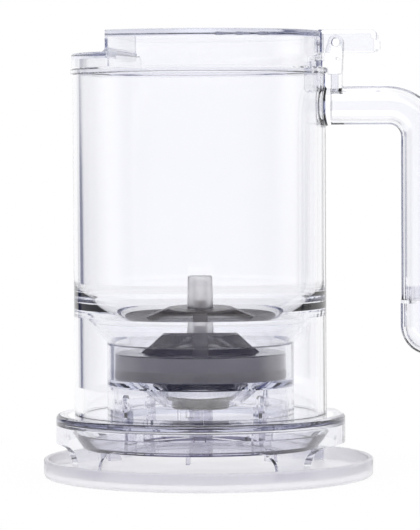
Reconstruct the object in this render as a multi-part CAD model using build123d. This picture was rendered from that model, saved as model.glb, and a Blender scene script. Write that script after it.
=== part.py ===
from build123d import *
from math import radians, sin, sqrt
import os

# A clear tea infuser mug that empties through a lift valve in its base, standing on its frosted coaster.
# Millimetres. The origin is on the mug's axis at the table, +X points to the handle and +Z is up.

# Coaster
coaster_margin = 7.6  # beyond the base ring
coaster_height = 7.1
coaster_floor = 2.4
coaster_wall = 1.9
coaster_shift = 2.9  # the mug stands this far off the coaster's centre
coaster_foot_edge = 1.6
coaster_inner_edge = 2.0

# Base ring: flange, snap collar and legs
ring_reach = 7.0  # beyond the mug's wall
ring_wall = 3.0
ring_height = 10.7
ring_plate = 2.5
ring_edge = 1.5
leg_height = 10.7
leg_width = 14.8
leg_flare = 7.0
collar_wall = 2.0
collar_height = 4.2
collar_gap = 0.5
tongue_width = 7.2
tongue_slit = 1.0
bump_width = 2.4
bump_height = 2.2
bump_reach = 0.9
bump_rise = 1.5
snap_gap = 0.25

# Mug body: chamber, funnel, well, drain and skirt
body_radius = 48.0
body_height = 130.8
rim_wall = 2.95
chamber_draft = 0.7
bead_reach = 0.9
bead_height = 2.2
bead_edge = 0.5
skirt_wall = 3.1
floor_rise = 10.8
floor_thickness = 2.8
well_radius = 33.0
well_depth = 13.3
well_wall = 2.5  # from the well's bore to the tube's outer face
well_edge = 1.3
tube_wall = 1.9
funnel_rise = 13.9
funnel_blend = 27.0
funnel_thickness = 1.75
funnel_ledge = 1.2  # flat ledge under the funnel where the skirt starts
drain_radius = 19.5
drain_cone_height = 5.4
drain_boss_top_radius = 24.3
drain_boss_drop = 7.6
drain_boss_wall = 1.4
seat_lip = 2.1
seat_thickness = 1.2
slot_width = 2.8
slot_height = 8.8

# Handle, moulded in one with the mug body, and its end cap
arm_drop = 6.85
arm_height = 14.9
handle_gap = 28.4
leg_depth = 17.5
handle_width = 15.0
handle_wall = 2.2
handle_round = 6.4
inner_bend = 4.3
outer_bend = 23.0
root_blend = 1.2
seam_height = 67.1  # above the table
cap_length = 21.0
cap_proud = 0.25
cap_inner_round = 11.5
cap_outer_round = 5.5
cap_plug_length = 5.0
cap_plug_gap = 0.1
cap_lip = 1.4

# Hinge bracket, socket and pin
pin_radius = 1.8
pin_reach = 4.1  # pin axis outside the body's wall
pin_rise = 9.5  # pin axis above the rim
pin_fit = 0.05
pin_inset = 0.2
knuckle_radius = 2.8
bracket_width = 9.0
strap_depth = 5.2
strap_lean = 0.6
socket_height = 4.4
socket_wall = 1.2
socket_depth = 5.8
tongue_gap = 0.2
saddle_height = 2.0
clip_length = 9.6
clip_thickness = 4.6
clip_round = 1.9
rim_gap = 0.3
dimple_radius = 0.8
dimple_drop = 6.2

# Lid with its spout step and thumb lever
lid_inset = 1.0  # the raised lid stands back from the body's wall
lid_height = 13.5
lid_top = 2.6
lid_wall = 2.6
lid_edge = 0.7
step_offset = 30.9  # distance of the spout step from the mug's axis
step_wall = 1.8
step_blend = 1.8
brim_reach = 0.5  # the low brim stands proud of the body's wall
brim_height = 5.5
brim_thickness = 2.3
plug_wall = 1.9
plug_gap = 0.4
plug_depth = 3.2
lever_length = 15.7  # from the pin's axis
lever_width = 12.4
lever_wall = 1.4
lever_top = 1.6
lever_below = 3.9
lever_above = 4.7
lever_edge = 0.6
lever_tip_round = 2.2
lever_under_round = 1.0
lever_hook = 3.4
lever_hook_reach = 0.8
tip_rib_depth = 1.0  # under the lever's top, inside its end
tip_rib_height = 1.9
hinge_gap = 0.3
snap_mouth = 3.2
mouth_flare = 1.1

# Filter: basket ring, hub, mesh, seal and lifting knob
filter_gap = 0.6  # all round, in the well
filter_ring_wall = 2.0
filter_height = 9.5
filter_plate = 1.8
seal_height = 3.6
seal_wall = 2.2
seal_lip = 0.2
seal_gap = 0.3
cone_base_radius = 22.5
hub_radius = 12.9
cone_height = 8.6
cone_thickness = 1.4
hub_thickness = 1.4
rib_width = 5.7
rib_count = 4
mesh_thickness = 0.5
mesh_inset = 0.4
mesh_gap = 0.05
knob_radius = 5.0
knob_taper = 0.35
knob_height = 20.1
knob_core = 2.3
knob_top = 1.9
knob_edge = 0.6
stub_height = 6.0
filter_turn = 6.5  # the photographed filter stands turned by this angle
grip_notch_width = 5.0
grip_notch_height = 2.4
grip_notch_depth = 1.2

# Valve and release plate
valve_radius = 13.3
valve_gap = 0.2
valve_height = 4.1
valve_neck_gap = 0.6
valve_neck_height = 2.4
valve_edge = 0.5
valve_dish = 1.2
valve_dish_wall = 2.6
plate_ring_gap = 3.3  # from the plate's rim to the ring's wall
plate_flare = 3.9
plate_rise = 5.8
plate_thickness = 1.8
plate_rim = 1.6
plate_travel = 3.8
plate_top_gap = 0.3
drain_opening = 22.0
post_radius = 4.5
post_gap = 0.3
spoke_width = 3.0
spoke_height = 3.4
fin_thickness = 2.0
fin_length = 15.0
barb_reach = 1.8
barb_height = 2.0
barb_gap = 0.3
rest_rib_height = 3.0
rest_rib_length = 5.0
rest_rib_width = 1.4
rest_rib_inset = 3.8
rest_rib_count = 8

cut_past = 1.0
full_turn = 360
quarter_turns = (0, 90, 180, 270)
diagonals = (45, 135, 225, 315)

# Levels and radii that follow from the sizes above
foot_level = coaster_floor
ring_bottom = foot_level + leg_height
ring_top = ring_bottom + ring_height
ring_plate_under = ring_top - ring_plate
rim_level = ring_top + body_height
ring_radius = body_radius + ring_reach
coaster_radius = ring_radius + coaster_margin
bore_radius = body_radius - rim_wall
lower_bore_radius = bore_radius - chamber_draft
skirt_inner = body_radius - skirt_wall
tube_radius = well_radius + well_wall
tube_inner = tube_radius - tube_wall
collar_outer = tube_inner - collar_gap
collar_inner = collar_outer - collar_wall
floor_under = ring_top + floor_rise
floor_level = floor_under + floor_thickness
well_top = floor_level + well_depth
funnel_top = well_top + funnel_rise
valve_bore = valve_radius + valve_gap
boss_bottom = floor_under - drain_boss_drop
seat_level = boss_bottom + seat_thickness
seat_radius = valve_bore - seat_lip
arm_top = rim_level - arm_drop
arm_bottom = arm_top - arm_height
leg_inner = body_radius + handle_gap
leg_outer = leg_inner + leg_depth
handle_root = body_radius - rim_wall / 2
pin_x = body_radius + pin_reach
pin_z = rim_level + pin_rise
strap_outer = pin_x + knuckle_radius - strap_lean
strap_inner = strap_outer - strap_depth
socket_top = arm_top + socket_height
lid_radius = body_radius - lid_inset
brim_radius = body_radius + brim_reach
lid_under = rim_level + rim_gap
lid_level = lid_under + lid_height
brim_level = lid_under + brim_height
plug_radius = bore_radius - plug_gap
plug_inner = plug_radius - plug_wall
lid_inner = lid_radius - lid_wall
filter_radius = well_radius - filter_gap
filter_bottom = floor_level + seal_gap
filter_level = filter_bottom + filter_height
cone_top = filter_level + cone_height
plate_radius = ring_radius - ring_wall - plate_ring_gap
plate_base_radius = plate_radius - plate_flare
rest_rib_radius = plate_base_radius - rest_rib_inset
plate_rim_level = ring_plate_under - plate_travel - plate_top_gap
plate_under = plate_rim_level - plate_rise
plate_floor = plate_under + plate_thickness
valve_foot = seat_level - valve_neck_height


def outline(points, rounds=()):
    """A face from (x, y) corners, with some corners rounded: (x, y, radius)."""
    face = make_face(Polyline(*points, close=True))
    if face.face().normal_at().Z < 0:
        face = make_face(Polyline(*points[::-1], close=True))
    for x, y, radius in rounds:
        face = fillet(face.vertices().sort_by_distance((x, y))[0], radius)
    return face


def turned(points, rounds=()):
    """A solid of revolution about the mug's axis from (radius, height) corners."""
    return revolve(Plane.XZ * outline(points, rounds), Axis.Z, full_turn)


def side_plate(face, width):
    """A face drawn in X and Z, thickened evenly to both sides of the handle's plane."""
    return extrude(Plane.XZ * face, width / 2, both=True)


def block(x_low, x_high, width, z_low, z_high):
    """A box between two X and two Z levels, centred on the handle's plane."""
    size = (x_high - x_low, width, z_high - z_low)
    return Pos((x_low + x_high) / 2, 0, (z_low + z_high) / 2) * Box(*size)


def rod(radius, z_low, z_high):
    """A cylinder on the mug's axis between two levels."""
    return Pos(0, 0, (z_low + z_high) / 2) * Cylinder(radius, z_high - z_low)


def around(shape, angles):
    """Copies of a shape turned about the mug's axis."""
    return [Rot(0, 0, angle) * shape for angle in angles]


def make_coaster():
    inner = coaster_radius - coaster_wall
    dish = turned(
        [(0, 0), (coaster_radius, 0), (coaster_radius, coaster_height), (inner, coaster_height),
         (inner, coaster_floor), (0, coaster_floor)],
        [(coaster_radius, 0, coaster_foot_edge), (inner, coaster_floor, coaster_inner_edge),
         (coaster_radius, coaster_height, coaster_wall * 0.4), (inner, coaster_height, coaster_wall * 0.4)],
    )
    return Pos(coaster_shift, 0, 0) * dish


def make_base_ring():
    inner = ring_radius - ring_wall
    ring = turned(
        [(collar_inner, ring_plate_under), (inner, ring_plate_under), (inner, foot_level),
         (ring_radius, foot_level), (ring_radius, ring_top), (collar_outer, ring_top),
         (collar_outer, ring_top + collar_height), (collar_inner, ring_top + collar_height)],
        [(ring_radius, ring_top, ring_edge), (inner, ring_plate_under, ring_edge)],
    )
    arch_half = (ring_radius - ring_wall / 2) * sin(radians(diagonals[0]) - leg_width / (2 * ring_radius))
    arch = outline(
        [(-arch_half, 0), (arch_half, 0), (arch_half, ring_bottom), (-arch_half, ring_bottom)],
        [(arch_half, ring_bottom, leg_flare), (-arch_half, ring_bottom, leg_flare)],
    )
    tunnel = extrude(Plane.YZ * arch, ring_radius + cut_past, both=True)
    ring -= tunnel
    ring -= Rot(0, 0, quarter_turns[1]) * tunnel
    slit_top = ring_top + collar_height + cut_past
    for side in (-1, 1):
        slit = Pos(0, side * (tongue_width + tongue_slit) / 2, 0) * block(
            collar_inner - cut_past, collar_outer + cut_past, tongue_slit, ring_top, slit_top)
        for cut in around(slit, quarter_turns):
            ring -= cut
    opening = block(collar_inner - cut_past, tube_radius + snap_gap, slot_width,
                    ring_plate_under - cut_past, slit_top)
    for cut in around(opening, diagonals):
        ring -= cut
    bump_low = ring_top + bump_rise
    bump = block(collar_inner + collar_wall / 2, tube_inner + bump_reach, bump_width,
                 bump_low, bump_low + bump_height)
    for nub in around(bump, quarter_turns):
        ring += nub
    return ring


def body_shell():
    """The turned shell: outer wall with its bead, chamber, funnel, well, drain, tube and skirt."""
    bead = body_radius + bead_reach
    cone_side = drain_boss_top_radius - valve_bore - drain_boss_wall
    slope = funnel_rise / (lower_bore_radius - well_radius)
    under_offset = funnel_thickness * sqrt(1 + slope ** 2) / slope
    under_low = well_top + (tube_radius - well_radius - under_offset) * slope
    ledge_radius = skirt_inner - funnel_ledge
    ledge_level = well_top + (ledge_radius - well_radius - under_offset) * slope
    return turned(
        [(body_radius, ring_top), (body_radius, rim_level - bead_height),
         (bead, rim_level - bead_height + bead_edge), (bead, rim_level - bead_edge),
         (bead - bead_edge, rim_level), (bore_radius, rim_level),
         (lower_bore_radius, funnel_top), (well_radius, well_top), (well_radius, floor_level),
         (drain_radius, floor_level), (valve_bore, floor_level - drain_cone_height),
         (valve_bore, seat_level), (seat_radius, seat_level), (seat_radius, boss_bottom),
         (drain_boss_top_radius - cone_side, boss_bottom), (drain_boss_top_radius, floor_under),
         (tube_inner, floor_under), (tube_inner, ring_top), (tube_radius, ring_top),
         (tube_radius, under_low), (ledge_radius, ledge_level), (skirt_inner, ledge_level),
         (skirt_inner, ring_top)],
        [(lower_bore_radius, funnel_top, funnel_blend), (well_radius, well_top, well_edge),
         (bore_radius, rim_level, bead_edge)],
    )


def handle_outline(grow):
    """Side view of the handle, drawn in by a wall where grow is negative."""
    near = handle_root if grow == 0 else body_radius - grow
    low = arm_bottom - grow
    high = arm_top + grow
    left = leg_inner - grow
    right = leg_outer + grow
    return outline(
        [(near, low), (left, low), (left, seam_height), (right, seam_height), (right, high), (near, high)],
        [(left, low, inner_bend - grow), (right, high, outer_bend + grow)],
    )


def rounded_bar(face, width, radius, open_x, open_z):
    """A thickened side view whose long edges are rounded, but not those of its two open ends."""
    bar = side_plate(face, width)
    flank = width / 2
    long_edges = [
        edge for edge in bar.edges()
        if abs(abs(edge.center().Y) - flank) < pin_fit
        and not all(abs(v.X - open_x) < pin_fit for v in edge.vertices())
        and not all(abs(v.Z - open_z) < pin_fit for v in edge.vertices())
    ]
    return fillet(long_edges, radius)


def make_mug_body():
    body = body_shell()
    body += rounded_bar(handle_outline(0), handle_width, handle_round, handle_root, seam_height)
    root = [edge for edge in body.edges() if arm_bottom - pin_fit < edge.center().Z < arm_top + pin_fit
            and body_radius - rim_wall / 2 < edge.center().X < body_radius + pin_fit
            and abs(edge.center().Y) < handle_width / 2 + pin_fit]
    body = fillet(root, root_blend)
    body += block(handle_root, strap_outer, bracket_width, arm_top - arm_height / 2, socket_top)
    body -= rounded_bar(handle_outline(-handle_wall), handle_width - 2 * handle_wall,
                        handle_round - handle_wall, body_radius + handle_wall, seam_height)
    pocket_inner = strap_inner + socket_wall
    body -= block(pocket_inner, strap_outer - socket_wall, bracket_width - 2 * socket_wall,
                  socket_top - socket_depth, socket_top + cut_past)
    for cut in around(tube_opening(slot_width, ring_top - cut_past, ring_top + slot_height), diagonals):
        body -= cut
    low = ring_top + bump_rise - snap_gap
    window = tube_opening(bump_width + 2 * snap_gap, low, low + bump_height + 2 * snap_gap + bump_width / 2)
    for cut in around(window, quarter_turns):
        body -= cut
    return body


def tube_opening(width, z_low, z_high):
    """A round-topped cutter through the tube's wall on the +X side."""
    spring = z_high - width / 2
    face = Rectangle(width, spring - z_low)
    tool = Pos(0, (spring + z_low) / 2) * face + Pos(0, spring) * Circle(width / 2)
    reach = tube_wall + 2 * snap_gap
    return Pos(tube_inner - snap_gap, 0, 0) * extrude(Plane.YZ * tool, reach)


def make_handle_end_cap():
    bottom = seam_height - cap_length
    left = leg_inner - cap_proud
    right = leg_outer + cap_proud
    width = handle_width + 2 * cap_proud
    shell_face = outline(
        [(left, seam_height), (left, bottom), (right, bottom), (right, seam_height)],
        [(left, bottom, cap_inner_round), (right, bottom, cap_outer_round)],
    )
    shell = rounded_bar(shell_face, width, handle_round, leg_inner + leg_depth * 9, seam_height)
    hollow_bottom = bottom + handle_wall
    hollow_face = outline(
        [(left + handle_wall, seam_height), (left + handle_wall, hollow_bottom),
         (right - handle_wall, hollow_bottom), (right - handle_wall, seam_height)],
        [(left + handle_wall, hollow_bottom, cap_inner_round - handle_wall),
         (right - handle_wall, hollow_bottom, cap_outer_round - handle_wall)],
    )
    plug_width = handle_width - 2 * handle_wall - 2 * cap_plug_gap
    plug_left = leg_inner + handle_wall + cap_plug_gap
    plug_right = leg_outer - handle_wall - cap_plug_gap
    plug = block(plug_left, plug_right, plug_width, seam_height - cap_lip, seam_height + cap_plug_length)
    plug = fillet(plug.edges().filter_by(Axis.Z), handle_round - handle_wall - cap_plug_gap)
    bore = block(plug_left + cap_lip, plug_right - cap_lip, plug_width - 2 * cap_lip,
                 seam_height - cap_length / 2, seam_height + cap_plug_length + cut_past)
    bore = fillet(bore.edges().filter_by(Axis.Z), handle_round - handle_wall - cap_plug_gap - cap_lip)
    hollow = rounded_bar(hollow_face, width - 2 * handle_wall, handle_round - handle_wall,
                         leg_inner + leg_depth * 9, seam_height)
    return shell + plug - (hollow & block(left, right, width, bottom, seam_height - cap_lip)) - bore


def make_hinge_bracket():
    lean_x = pin_x + knuckle_radius
    shoulder_z = rim_level + rim_gap + saddle_height
    left_low = lid_radius + 2 * hinge_gap
    strap = outline([
        (strap_inner, socket_top), (strap_outer, socket_top), (lean_x, pin_z),
        (pin_x - knuckle_radius, pin_z), (left_low, shoulder_z + saddle_height), (left_low, shoulder_z),
        (body_radius + bead_reach + pin_fit, lid_under), (strap_inner, lid_under),
    ])
    strap_side = strap + Pos(pin_x, pin_z) * Circle(knuckle_radius)
    bracket = side_plate(strap_side, bracket_width)
    clip_outer = bore_radius - 2 * hinge_gap
    clip_inner = clip_outer - clip_thickness
    bracket += block(clip_inner, strap_inner + socket_wall, bracket_width, lid_under, shoulder_z)
    clip_face = outline(
        [(clip_inner, shoulder_z), (clip_inner, rim_level - clip_length),
         (clip_outer, rim_level - clip_length), (clip_outer, shoulder_z)],
        [(clip_inner, rim_level - clip_length, clip_round)],
    )
    clip = side_plate(clip_face, bracket_width)
    bracket += fillet(clip.edges().filter_by(Axis.Z).group_by(Axis.X)[0], clip_round)
    bracket += block(strap_inner + socket_wall + tongue_gap, strap_outer - socket_wall - tongue_gap,
                     bracket_width - 2 * socket_wall - 2 * tongue_gap,
                     socket_top - socket_depth + tongue_gap, socket_top + cut_past)
    bore = Pos(pin_x, 0, pin_z) * Rot(90, 0, 0) * Cylinder(pin_radius + pin_fit / 2, bracket_width + cut_past)
    dimple_x = strap_outer - socket_wall / 2 - dimple_radius
    dimple = Pos(dimple_x, 0, pin_z - dimple_drop) * Rot(90, 0, 0) * Cylinder(
        dimple_radius, bracket_width + cut_past)
    return bracket - bore - dimple


def make_hinge_pin():
    length = lever_width - 2 * pin_inset
    pin = Pos(pin_x, 0, pin_z) * Rot(90, 0, 0) * Cylinder(pin_radius, length)
    return chamfer(pin.edges().filter_by(GeomType.CIRCLE), pin_inset)


def step_fillet():
    """The concave fillet where the spout step rises from the low brim."""
    left = -step_offset - step_blend
    right = -step_offset + lid_edge
    top = brim_level + step_blend
    low = brim_level - lid_edge
    corner = outline([(left, low), (right, low), (right, top), (left, top)])
    corner -= Pos(left, top) * Circle(step_blend)
    return side_plate(corner, 2 * brim_radius) & rod(lid_radius, 0, lid_level)


def lid_cap():
    """The lid without its lever: raised D-shaped top, spout step, low brim and plug."""
    brim = turned([(0, brim_level - brim_thickness), (plug_inner, brim_level - brim_thickness),
                   (plug_inner, lid_under), (brim_radius, lid_under), (brim_radius, brim_level),
                   (0, brim_level)], [(brim_radius, brim_level, lid_edge)])
    brim &= block(-ring_radius, -step_offset + step_wall, 2 * ring_radius, 0, lid_level)
    raised = turned([(0, lid_under), (lid_radius, lid_under), (lid_radius, lid_level), (0, lid_level)],
                    [(lid_radius, lid_level, lid_edge)])
    raised -= block(-ring_radius, -step_offset, 2 * ring_radius, 0, lid_level + cut_past)
    cavity = rod(lid_inner, 0, lid_level - lid_top)
    cavity &= block(-step_offset + step_wall, ring_radius, 2 * ring_radius, 0, lid_level)
    plug = rod(plug_radius, lid_under - plug_depth, brim_level - brim_thickness / 2)
    plug -= rod(plug_inner, 0, lid_level)
    cap = raised + brim + step_fillet() - rod(plug_inner, 0, brim_level - brim_thickness) - cavity
    return cap + plug


def make_lid():
    tip = pin_x + lever_length
    low = pin_z - lever_below
    high = pin_z + lever_above
    start = lid_radius - lid_wall / 2
    lever = rounded_bar(outline(
        [(start, low), (tip, low), (tip, high), (start, high)],
        [(tip, high, lever_tip_round), (tip, low, lever_under_round)]),
        lever_width, lever_edge, start, lid_under)
    hook_x = tip - lever_tip_round
    lever += block(hook_x, tip + lever_hook_reach, lever_width, low + lever_under_round,
                   low + lever_under_round + lever_hook)
    hollow_width = lever_width - 2 * lever_wall
    hollow_start = lid_radius + hinge_gap / 2
    hollow = block(hollow_start, tip - lever_wall, hollow_width, low - cut_past, high - lever_top)
    lever -= hollow
    end_inner = tip - lever_wall
    rib_top = high - lever_top
    lever += block(end_inner - tip_rib_depth, end_inner, hollow_width, rib_top - tip_rib_height, rib_top)
    hole = Pos(pin_x, 0, pin_z) * Rot(90, 0, 0) * Cylinder(pin_radius + pin_fit, lever_width + cut_past)
    half_mouth = snap_mouth / 2
    mouth = side_plate(outline([
        (pin_x - half_mouth - mouth_flare, low), (pin_x + half_mouth + mouth_flare, low),
        (pin_x + half_mouth, pin_z), (pin_x - half_mouth, pin_z)]), lever_width + cut_past)
    notch = block(plug_inner - clip_thickness - 2 * hinge_gap, brim_radius + cut_past,
                  bracket_width + 2 * hinge_gap, lid_under - plug_depth - cut_past,
                  rim_level + rim_gap + saddle_height + hinge_gap)
    return lid_cap() + (lever - hole - mouth) - notch


def cone_radius(level):
    """Radius of the filter's cone outline at a level."""
    return cone_base_radius - (level - filter_level) * (cone_base_radius - hub_radius) / cone_height


def cone_band(depth, thickness, high):
    """A conical band inside the cone's outline, from the ring's plate up to a level."""
    low = filter_level - filter_plate
    base = cone_base_radius - depth
    crown = cone_radius(high) - depth
    return turned([(base - thickness, low), (base, low), (base, filter_level), (crown, high),
                   (crown - thickness, high), (base - thickness, filter_level)])


def rib_bars():
    """Bars that cut the cone into its ribs."""
    bar = block(0, cone_base_radius + cut_past, rib_width, 0, cone_top + cut_past)
    return around(bar, [filter_turn + full_turn * index / rib_count for index in range(rib_count)])


def make_filter_frame():
    ring_low = filter_bottom + seal_height
    inner = filter_radius - filter_ring_wall
    plate_edge = cone_base_radius - mesh_inset + mesh_gap
    frame = turned([(inner, ring_low), (filter_radius, ring_low), (filter_radius, filter_level),
                    (plate_edge, filter_level), (plate_edge, filter_level - filter_plate),
                    (inner, filter_level - filter_plate)], [(filter_radius, filter_level, mesh_thickness)])
    hub_low = cone_top - hub_thickness
    band = cone_band(0, cone_thickness, cone_top)
    for bar in rib_bars():
        frame += band & bar
    frame += turned([(0, hub_low), (cone_radius(hub_low), hub_low), (hub_radius, cone_top), (0, cone_top)])
    return frame + rod(knob_core - pin_fit, hub_low, cone_top + stub_height)


def make_filter_mesh():
    band = cone_band(mesh_inset, mesh_thickness, cone_top - hub_thickness)
    for bar in rib_bars():
        band -= bar
    return band


def make_filter_seal():
    top = filter_bottom + seal_height
    inner = filter_radius - seal_wall
    seal = turned([(inner, filter_bottom), (filter_radius, filter_bottom),
                   (filter_radius + seal_lip, filter_bottom + seal_height / 2), (filter_radius, top),
                   (inner, top)])
    notch = block(filter_radius - grip_notch_depth, filter_radius + cut_past, grip_notch_width,
                  filter_bottom - cut_past, filter_bottom + grip_notch_height)
    return seal - Rot(0, 0, filter_turn - quarter_turns[1]) * notch


def make_filter_knob():
    top = cone_top + knob_height
    return turned([(knob_core, cone_top), (knob_radius, cone_top), (knob_radius - knob_taper, top),
                   (0, top), (0, top - knob_top), (knob_core, top - knob_top)],
                  [(knob_radius - knob_taper, top, knob_edge)])


def make_valve_poppet():
    top = seat_level + valve_height
    neck = seat_radius - valve_neck_gap
    dish = valve_radius - valve_dish_wall
    return turned([(0, valve_foot), (neck, valve_foot), (neck, seat_level), (valve_radius, seat_level),
                   (valve_radius, top), (dish, top), (dish, top - valve_dish), (0, top - valve_dish)],
                  [(valve_radius, top, valve_edge), (neck, valve_foot, valve_edge)])


def make_release_plate():
    rim_inner = plate_radius - plate_rim
    floor_edge = plate_base_radius - plate_rim / 2
    plate = turned([(drain_opening, plate_under), (plate_base_radius, plate_under),
                    (plate_radius, plate_rim_level), (rim_inner, plate_rim_level),
                    (floor_edge, plate_floor), (drain_opening, plate_floor)],
                   [(floor_edge, plate_floor, plate_rim / 2)])
    plate += rod(post_radius, plate_under, valve_foot - post_gap)
    spoke = block(0, drain_opening + cut_past, spoke_width, plate_under, plate_under + spoke_height)
    fin_outer = tube_radius - snap_gap
    fin_top = plate_floor + fin_length
    fin = block(collar_inner, fin_outer, fin_thickness, plate_under, fin_top)
    barb_low = ring_top + barb_gap
    fin += block(tube_inner, tube_radius + barb_reach, fin_thickness, barb_low, barb_low + barb_height)
    for arm in around(spoke + fin, diagonals):
        plate += arm
    rest_rib = block(rest_rib_radius - rest_rib_length / 2, rest_rib_radius + rest_rib_length / 2,
                     rest_rib_width, plate_under - rest_rib_height, plate_floor)
    for rib in around(rest_rib, [full_turn * index / rest_rib_count for index in range(rest_rib_count)]):
        plate += rib
    return plate


parts = {
    "coaster": make_coaster,
    "base_ring": make_base_ring,
    "mug_body": make_mug_body,
    "handle_end_cap": make_handle_end_cap,
    "hinge_bracket": make_hinge_bracket,
    "hinge_pin": make_hinge_pin,
    "lid": make_lid,
    "filter_frame": make_filter_frame,
    "filter_mesh": make_filter_mesh,
    "filter_seal": make_filter_seal,
    "filter_knob": make_filter_knob,
    "valve_poppet": make_valve_poppet,
    "release_plate": make_release_plate,
}

os.makedirs("parts", exist_ok=True)
for node, make in parts.items():
    export_step(make(), f"parts/{node}.step")
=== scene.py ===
import bpy
import bmesh
import math
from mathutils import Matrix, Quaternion, Vector


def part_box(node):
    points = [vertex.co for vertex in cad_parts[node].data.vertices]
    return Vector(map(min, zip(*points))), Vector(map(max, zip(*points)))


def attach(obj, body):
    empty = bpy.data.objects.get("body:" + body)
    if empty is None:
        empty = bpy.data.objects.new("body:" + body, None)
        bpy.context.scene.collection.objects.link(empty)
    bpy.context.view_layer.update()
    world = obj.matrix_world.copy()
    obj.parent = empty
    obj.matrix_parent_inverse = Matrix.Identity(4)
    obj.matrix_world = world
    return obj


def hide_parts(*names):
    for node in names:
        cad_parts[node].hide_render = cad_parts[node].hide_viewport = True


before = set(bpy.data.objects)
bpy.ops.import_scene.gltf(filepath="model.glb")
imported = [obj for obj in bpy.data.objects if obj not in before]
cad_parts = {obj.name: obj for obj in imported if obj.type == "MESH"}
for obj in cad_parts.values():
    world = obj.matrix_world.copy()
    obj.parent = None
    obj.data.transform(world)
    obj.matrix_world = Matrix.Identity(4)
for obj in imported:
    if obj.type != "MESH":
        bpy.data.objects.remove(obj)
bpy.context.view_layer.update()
print("frame loaded")


class Wire:  # one socket of a shader tree: sums on it add Math nodes
    def __init__(self, tree, socket=None):
        self.tree = tree
        self.socket = socket

    def node(self, kind, settings={}, inputs={}, output=0):  # any other node
        made = self.tree.nodes.new(kind)
        for key, value in settings.items():
            setattr(made, key, value)
        for key, value in inputs.items():
            if isinstance(value, Wire):
                self.tree.links.new(value.socket, made.inputs[key])
            else:
                made.inputs[key].default_value = value
        return Wire(self.tree, made.outputs[output] if len(made.outputs) else None)

    def part(self, output):  # another output of the same node
        return Wire(self.tree, self.socket.node.outputs[output])

    def maths(self, operation, first, second=0.0):
        return self.node("ShaderNodeMath", {"operation": operation}, {0: first, 1: second})

    def __add__(self, other):
        return self.maths("ADD", self, other)

    def __radd__(self, other):
        return self.maths("ADD", other, self)

    def __sub__(self, other):
        return self.maths("SUBTRACT", self, other)

    def __rsub__(self, other):
        return self.maths("SUBTRACT", other, self)

    def __mul__(self, other):
        return self.maths("MULTIPLY", self, other)

    def __rmul__(self, other):
        return self.maths("MULTIPLY", other, self)


def openTree(owner):  # an emptied node tree and a wire to start from
    owner.use_nodes = True
    owner.node_tree.nodes.clear()
    return Wire(owner.node_tree)


def remap(value, low, high, toLow, toHigh):  # smooth step of a value between two limits
    settings = {"interpolation_type": "SMOOTHSTEP"}
    sockets = {"Value": value, "From Min": low, "From Max": high, "To Min": toLow, "To Max": toHigh}
    return value.node("ShaderNodeMapRange", settings, sockets)


def tint(wire, factor, first, second):  # a colour between two colours
    ends = [end if isinstance(end, Wire) else (*end, 1) for end in (first, second)]
    sockets = {0: factor, 6: ends[0], 7: ends[1]}
    return wire.node("ShaderNodeMix", {"data_type": "RGBA"}, sockets, output=2)


middle = (0.3, 0.7)  # the range in which most of a noise lies


def noise(wire, place, scale, detail=2.0):
    return wire.node("ShaderNodeTexNoise", {}, {"Vector": place, "Scale": scale, "Detail": detail})


def levelOf(wire, place):  # height above the table
    return wire.node("ShaderNodeSeparateXYZ", {}, {0: place}, output=2)


def grainBump(wire, grain, look):  # fine grain as a bump
    sockets = {"Strength": look["grainHeight"], "Distance": look["grainDepth"], "Height": grain}
    return wire.node("ShaderNodeBump", {}, sockets)


# Clear plastic: slightly lavender, faint moulding waves, and grey-blue where it is looked at edge on

clearLook = {
    "tintLow": (0.976, 0.977, 0.992), "tintHigh": (0.988, 0.989, 1.0),
    "waveScale": 22.0, "waveHeight": 0.012, "waveDepth": 0.001,
    "hazeScale": 160.0, "hazeFrom": 0.35, "hazeTo": 0.75, "hazeMost": 0.012,
    "ior": 1.56, "edgeTint": (0.72, 0.74, 0.86), "edgeDensity": 9.0,
}
baseLook = {  # the flange is a shade darker, and its feet stand on the coaster at the sole's level
    **clearLook, "edgeTint": (0.58, 0.585, 0.71), "edgeDensity": 42.0, "soleLevel": 0.00241,
}
plateLook = {**clearLook, "edgeTint": (0.58, 0.565, 0.68), "edgeDensity": 150.0}  # darkest of the three


def clearPlastic(name, look):
    made = bpy.data.materials.new(name)
    tree = openTree(made)
    place = tree.node("ShaderNodeTexCoord", output="Object")
    wave = noise(tree, place, look["waveScale"])
    haze = noise(tree, place, look["hazeScale"])
    bump = tree.node("ShaderNodeBump", {}, {
        "Strength": look["waveHeight"], "Distance": look["waveDepth"], "Height": wave,
    })
    alpha = 1.0
    if "soleLevel" in look:  # light passes from a foot into what it stands on as if they were one
        alpha = tree.maths("GREATER_THAN", levelOf(tree, place), look["soleLevel"])
    shader = tree.node("ShaderNodeBsdfPrincipled", {}, {
        "Base Color": tint(tree, wave, look["tintLow"], look["tintHigh"]),
        "Roughness": remap(haze, look["hazeFrom"], look["hazeTo"], 0.0, look["hazeMost"]),
        "Alpha": alpha, "Normal": bump, "IOR": look["ior"], "Transmission Weight": 1.0,
    })
    body = tree.node("ShaderNodeVolumeAbsorption", {}, {
        "Color": (*look["edgeTint"], 1), "Density": look["edgeDensity"],
    })
    tree.node("ShaderNodeOutputMaterial", {}, {"Surface": shader, "Volume": body})
    return made


# Frosted plastic of the coaster and the knob

coasterLook = {
    "tintLow": (0.86, 0.85, 0.905), "tintHigh": (0.92, 0.91, 0.96), "blotchScale": 35.0,
    "grainScale": 1400.0, "grainHeight": 0.08, "grainDepth": 0.0002, "roughLow": 0.34, "roughHigh": 0.44,
    "ior": 1.45, "clear": 0.94,
}
knobLook = {
    "tintLow": (0.97, 0.96, 0.96), "tintHigh": (1.0, 0.99, 0.99), "blotchScale": 90.0,
    "grainScale": 1800.0, "grainHeight": 0.10, "grainDepth": 0.0002, "roughLow": 0.52, "roughHigh": 0.64,
    "ior": 1.32, "clear": 0.97,
}


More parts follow.
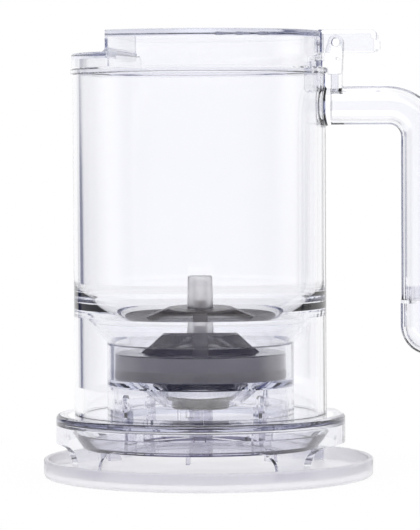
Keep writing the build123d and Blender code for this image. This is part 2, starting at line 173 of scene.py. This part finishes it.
def frostedPlastic(name, look):
    made = bpy.data.materials.new(name)
    tree = openTree(made)
    place = tree.node("ShaderNodeTexCoord", output="Object")
    blotch = noise(tree, place, look["blotchScale"])
    grain = noise(tree, place, look["grainScale"])
    shader = tree.node("ShaderNodeBsdfPrincipled", {}, {
        "Base Color": tint(tree, blotch, look["tintLow"], look["tintHigh"]),
        "Roughness": remap(blotch, *middle, look["roughLow"], look["roughHigh"]),
        "Normal": grainBump(tree, grain, look), "IOR": look["ior"], "Transmission Weight": look["clear"],
    })
    tree.node("ShaderNodeOutputMaterial", {}, {"Surface": shader})
    return made


# Grey moulded plastic and rubber of the filter and valve

filterLook = {
    "dark": (0.105, 0.09, 0.09), "light": (0.155, 0.137, 0.133), "cloudScale": 60.0,
    # painted highlight and sheen colours for the thin ring and the knob's core
    "paintedSheenDark": (0.62, 0.59, 0.60), "paintedSheenLight": (0.72, 0.69, 0.70),
    "coneLow": 0.0465, "coneHigh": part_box("filter_knob")[0][2], "change": 0.0004,
    "grainScale": 900.0, "grainHeight": 0.03, "grainDepth": 0.0002, "roughLow": 0.10, "roughHigh": 0.20,
}
sealLook = {
    "dark": (0.54, 0.50, 0.485), "light": (0.64, 0.60, 0.58), "cloudScale": 50.0,
    "grainScale": 700.0, "grainHeight": 0.15, "grainDepth": 0.0002, "roughLow": 0.48, "roughHigh": 0.62,
}
meshLook = {
    "dark": (0.14, 0.12, 0.108), "light": (0.22, 0.19, 0.175), "cloudScale": 90.0,
    "grainScale": 1500.0, "grainHeight": 0.05, "grainDepth": 0.0002, "roughLow": 0.50, "roughHigh": 0.62,
}
valveLook = {
    "dark": (0.27, 0.245, 0.245), "light": (0.37, 0.34, 0.335), "cloudScale": 70.0,
    "grainScale": 800.0, "grainHeight": 0.15, "grainDepth": 0.0002, "roughLow": 0.45, "roughHigh": 0.60,
}
cloudy = {"detail": 3.0, "share": 0.75}  # the clouds' part in the mottling, beside the grain


def greyPlastic(name, look):
    made = bpy.data.materials.new(name)
    tree = openTree(made)
    place = tree.node("ShaderNodeTexCoord", output="Object")
    cloud = noise(tree, place, look["cloudScale"], cloudy["detail"])
    grain = noise(tree, place, look["grainScale"])
    mottle = remap(cloud * cloudy["share"] + grain * (1 - cloudy["share"]), *middle, 0.0, 1.0)
    colour = tint(tree, mottle, look["dark"], look["light"])
    if "coneLow" in look:  # the thin ring and the knob's core are painted paler than the cone between them, a painted highlight and sheen
        height = levelOf(tree, place)
        cone = remap(height, look["coneLow"], look["coneLow"] + look["change"], 0.0, 1.0)
        cone *= remap(height, look["coneHigh"], look["coneHigh"] + look["change"], 1.0, 0.0)
        paintedSheen = tint(tree, mottle, look["paintedSheenDark"], look["paintedSheenLight"])
        colour = tint(tree, cone, paintedSheen, colour)
    shader = tree.node("ShaderNodeBsdfPrincipled", {}, {
        "Base Color": colour,
        "Roughness": remap(cloud, *middle, look["roughLow"], look["roughHigh"]),
        "Normal": grainBump(tree, grain, look),
    })
    tree.node("ShaderNodeOutputMaterial", {}, {"Surface": shader})
    return made


def dress(piece, material):
    piece.data.materials.clear()
    piece.data.materials.append(material)


clear = clearPlastic("clear plastic", clearLook)
finishes = {
    "mug_body": clear, "handle_end_cap": clear, "hinge_bracket": clear, "hinge_pin": clear,
    "lid": clear, "base_ring": clearPlastic("clear base plastic", baseLook),
    "release_plate": clearPlastic("clear plate plastic", plateLook),
    "coaster": frostedPlastic("frosted coaster", coasterLook),
    "filter_knob": frostedPlastic("frosted knob", knobLook),
    "filter_frame": greyPlastic("filter plastic", filterLook),
    "filter_mesh": greyPlastic("filter mesh", filterLook),
    "filter_seal": greyPlastic("filter seal", sealLook),
    "valve_poppet": greyPlastic("valve rubber", valveLook),
}
for node, finish in finishes.items():
    dress(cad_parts[node], finish)
print("finishes made")


# Modelling helpers

def deselectAll():
    bpy.ops.object.select_all(action="DESELECT")


def drawLine(name, points):  # a chain of edges from a first vertex, in the handle's plane: (radius, height)
    deselectAll()
    bpy.ops.mesh.primitive_plane_add(size=0.001)
    piece = bpy.context.object
    piece.name = name
    bpy.ops.object.mode_set(mode="EDIT")
    bpy.ops.mesh.select_all(action="SELECT")
    bpy.ops.mesh.merge(type="CENTER")
    place = Vector((points[0][0], 0, points[0][1]))
    bpy.ops.transform.translate(value=place)
    for radius, height in points[1:]:
        step = Vector((radius, 0, height)) - place
        bpy.ops.mesh.extrude_vertices_move(TRANSFORM_OT_translate={"value": step})
        place += step
    return piece


def spinRound(steps, joinWithin=0.00001):  # turns the drawn line about the mug's axis
    bpy.ops.mesh.select_all(action="SELECT")
    bpy.ops.mesh.spin(steps=steps, angle=2 * math.pi, center=(0, 0, 0), axis=(0, 0, 1))
    bpy.ops.mesh.select_all(action="SELECT")
    bpy.ops.mesh.remove_doubles(threshold=joinWithin)
    bpy.ops.mesh.normals_make_consistent(inside=False)


def pickFaces(piece, test):  # selects the faces whose centre passes a test
    bpy.ops.mesh.select_all(action="DESELECT")
    mesh = bmesh.from_edit_mesh(piece.data)
    for face in mesh.faces:
        face.select_set(test(face.calc_center_median()))
    bmesh.update_edit_mesh(piece.data)


def addModifier(piece, kind, **settings):  # adds a modifier and applies it
    bpy.context.view_layer.objects.active = piece
    modifier = piece.modifiers.new(kind.title(), kind)
    for key, value in settings.items():
        setattr(modifier, key, value)
    bpy.ops.object.modifier_apply(modifier=modifier.name)


# Woven mesh of the filter's cone, in four panels between the ribs

meshShape = {
    "radiusLow": 0.02185, "radiusHigh": 0.01380, "inPlate": 0.0455, "levelLow": 0.0472, "levelHigh": 0.0543,
    "rows": 18, "steps": 252, "wire": 0.00027, "turn": 6.5, "ribHalf": 0.0025,
}


def makeMesh(shape):
    points = [(shape["radiusLow"], shape["inPlate"])]
    for row in range(shape["rows"] + 1):
        share = row / shape["rows"]
        radius = shape["radiusLow"] + (shape["radiusHigh"] - shape["radiusLow"]) * share
        points.append((radius, shape["levelLow"] + (shape["levelHigh"] - shape["levelLow"]) * share))
    cone = drawLine("woven_mesh", points)
    spinRound(shape["steps"])
    turn = math.radians(shape["turn"])

    def underRib(centre):
        along = centre.x * math.cos(turn) + centre.y * math.sin(turn)
        across = centre.y * math.cos(turn) - centre.x * math.sin(turn)
        return min(abs(along), abs(across)) < shape["ribHalf"]

    pickFaces(cone, underRib)
    bpy.ops.mesh.delete(type="FACE")
    bpy.ops.object.mode_set(mode="OBJECT")
    addModifier(cone, "WIREFRAME", thickness=shape["wire"], use_even_offset=False)
    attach(cone, "filter")
    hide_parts("filter_mesh")
    return cone


dress(makeMesh(meshShape), greyPlastic("woven mesh", meshLook))
print("filter mesh woven")


# Floor, white room and soft light

stageSizes = {
    "floorRadius": 0.45, "floorCorners": 96, "floorColour": (0.86, 0.86, 0.86),
    "shadowStart": 0.06, "shadowEnd": 0.16, "shadowShare": 0.05,
    "bounceStart": 0.064, "bounceIn": 0.070, "bounceOut": 0.15, "bounceEnd": 0.30, "bounceShare": 0.45,
}


def clearRays(tree):  # 1 for rays that come off gloss or through clear plastic
    path = tree.node("ShaderNodeLightPath")
    return tree.maths("MINIMUM", path.part("Is Glossy Ray") + path.part("Is Transmission Ray"), 1.0)


def whiteRays(tree):  # 1 for what the camera sees, also through clear plastic, 0 for the light on matt faces
    path = tree.node("ShaderNodeLightPath")
    lighting = tree.maths("MINIMUM", path.part("Diffuse Depth"), 1.0)
    return tree.maths("MINIMUM", path.part("Is Camera Ray") + clearRays(tree), 1.0) * (1 - lighting)


def makeFloor(sizes):
    deselectAll()
    bpy.ops.mesh.primitive_circle_add(
        vertices=sizes["floorCorners"], radius=sizes["floorRadius"], fill_type="NGON")
    floor = bpy.context.object
    floor.name = "floor"
    made = bpy.data.materials.new("pale floor")
    tree = openTree(made)
    place = tree.node("ShaderNodeTexCoord", output="Object")
    distance = tree.node("ShaderNodeVectorMath", {"operation": "LENGTH"}, {0: place}, output=1)
    near = remap(distance, sizes["shadowStart"], sizes["shadowEnd"], sizes["shadowShare"], 0.0)
    white = tree.node("ShaderNodeEmission", {}, {"Color": (1, 1, 1, 1)})
    matt = tree.node("ShaderNodeBsdfDiffuse", {}, {"Color": (*sizes["floorColour"], 1)})
    around = remap(distance, sizes["bounceStart"], sizes["bounceIn"], 0.0, 1.0)
    around *= remap(distance, sizes["bounceOut"], sizes["bounceEnd"], 1.0, 0.0)
    bent = clearRays(tree) * sizes["bounceShare"]
    share = whiteRays(tree) * (1 - near) * (1 - around * bent)
    both = tree.node("ShaderNodeMixShader", {}, {0: share, 1: matt, 2: white})
    tree.node("ShaderNodeOutputMaterial", {}, {"Surface": both})
    dress(floor, made)


room = {
    "level": 1.0, "forward": 6.5, "cardColour": (0.04, 0.05, 0.15), "back": 1.17,
    "front": (0.08, 0.09, 0.19), "frontStart": -0.30, "frontEnd": 0.15, "frontTop": 0.25, "frontOver": 0.50,
    "edgeStart": -0.53, "edgeEnd": -0.60, "midStart": -0.66, "midEnd": -0.80, "mid": 0.50,
    "fadeStart": -1.30, "fadeEnd": -1.90, "low": 0.50, "high": 0.97,
    "gapHeight": 0.012, "gapStart": 0.01, "gapEnd": 0.045,
    "dimStart": 0.03, "dimEnd": 0.22, "dim": 0.84,
}


def makeRoom(look):  # white, but clear plastic mirrors a dark card behind the left and a dark front
    bpy.context.scene.world = bpy.data.worlds.new("white room")
    tree = openTree(bpy.context.scene.world)
    sight = tree.node("ShaderNodeSeparateXYZ", {}, {0: tree.node("ShaderNodeTexCoord", output="Generated")})
    side = tree.maths("ARCTAN2", sight.part("X"), sight.part("Y")) + math.radians(look["forward"])
    rise = tree.maths("ABSOLUTE", sight.part("Z") - look["gapHeight"])
    strength = remap(rise, look["gapStart"], look["gapEnd"], look["low"], look["high"])
    edge = remap(side, look["edgeEnd"], look["edgeStart"], 1.0, 0.0)
    fade = remap(side, look["fadeEnd"], look["fadeStart"], 0.0, look["mid"])
    fade += remap(side, look["midEnd"], look["midStart"], 0.0, 1.0 - look["mid"])
    onlyClear = clearRays(tree)
    mirrored = tree.maths("MINIMUM", tree.node("ShaderNodeLightPath", output="Glossy Depth"), onlyClear)
    colour = tint(tree, edge * fade * strength * mirrored, (1, 1, 1), look["cardColour"])
    ahead = remap(tree.maths("COSINE", side), look["frontStart"], look["frontEnd"], 1.0, 0.0)
    ahead *= remap(sight.part("Z"), look["frontTop"], look["frontOver"], 1.0, 0.0)
    colour = tint(tree, ahead * mirrored, colour, look["front"])
    turned = tree.maths("ABSOLUTE", side)
    dim = remap(turned, look["dimStart"], look["dimEnd"], look["back"], look["back"] * look["dim"])
    back = tree.node("ShaderNodeBackground", {}, {"Color": colour, "Strength": 1 + (dim - 1) * onlyClear})
    light = tree.node("ShaderNodeBackground", {}, {"Color": (1, 1, 1, 1), "Strength": look["level"]})
    both = tree.node("ShaderNodeMixShader", {}, {0: whiteRays(tree), 1: light, 2: back})
    tree.node("ShaderNodeOutputWorld", {}, {"Surface": both})


lamps = {
    "key": {"place": (-0.9, -1.3, 1.5), "size": 1.1, "power": 13.0},
    "fill": {"place": (1.2, -0.9, 0.9), "size": 1.0, "power": 5.0},
}


def makeLamps(rows):
    for name, row in rows.items():
        lamp = bpy.data.objects.new(name, bpy.data.lights.new(name, "AREA"))
        bpy.context.scene.collection.objects.link(lamp)
        lamp.data.size = row["size"]
        lamp.data.energy = row["power"]
        lamp.location = row["place"]
        lamp.rotation_mode = "QUATERNION"
        lamp.rotation_quaternion = Vector(row["place"]).to_track_quat("Z", "Y")
        lamp.visible_glossy = False
        lamp.visible_transmission = False


cameraSizes = {
    "azimuth": 6.5, "distance": 1.178, "height": 0.1276, "aim": 0.0801, "aside": 0.0038,
    "roll": 0.3, "lens": 210.7, "nearest": 0.05, "furthest": 50,
}


def makeCamera(sizes):
    angle = math.radians(sizes["azimuth"])
    camera = bpy.data.objects.new("camera", bpy.data.cameras.new("camera"))
    bpy.context.scene.collection.objects.link(camera)
    bpy.context.scene.camera = camera
    camera.data.lens = sizes["lens"]
    ahead = Vector((-math.sin(angle), math.cos(angle), 0))
    beside = Vector((math.cos(angle), math.sin(angle), 0))
    camera.location = Vector((0, 0, sizes["height"])) - ahead * sizes["distance"]
    target = Vector((0, 0, sizes["aim"])) + beside * sizes["aside"]
    camera.rotation_mode = "QUATERNION"
    roll = Quaternion((0, 0, 1), -math.radians(sizes["roll"]))
    camera.rotation_quaternion = (target - camera.location).to_track_quat("-Z", "Y") @ roll
    camera.data.clip_start = sizes["nearest"]
    camera.data.clip_end = sizes["furthest"]


makeFloor(stageSizes)
makeRoom(room)
makeLamps(lamps)
makeCamera(cameraSizes)
scene = bpy.context.scene
scene.view_settings.view_transform = "Standard"
bounces = 96  # enough for light to find its way out of the clear walls
scene.cycles.max_bounces = bounces
scene.cycles.transmission_bounces = bounces
scene.cycles.glossy_bounces = bounces
print("stage and camera made")
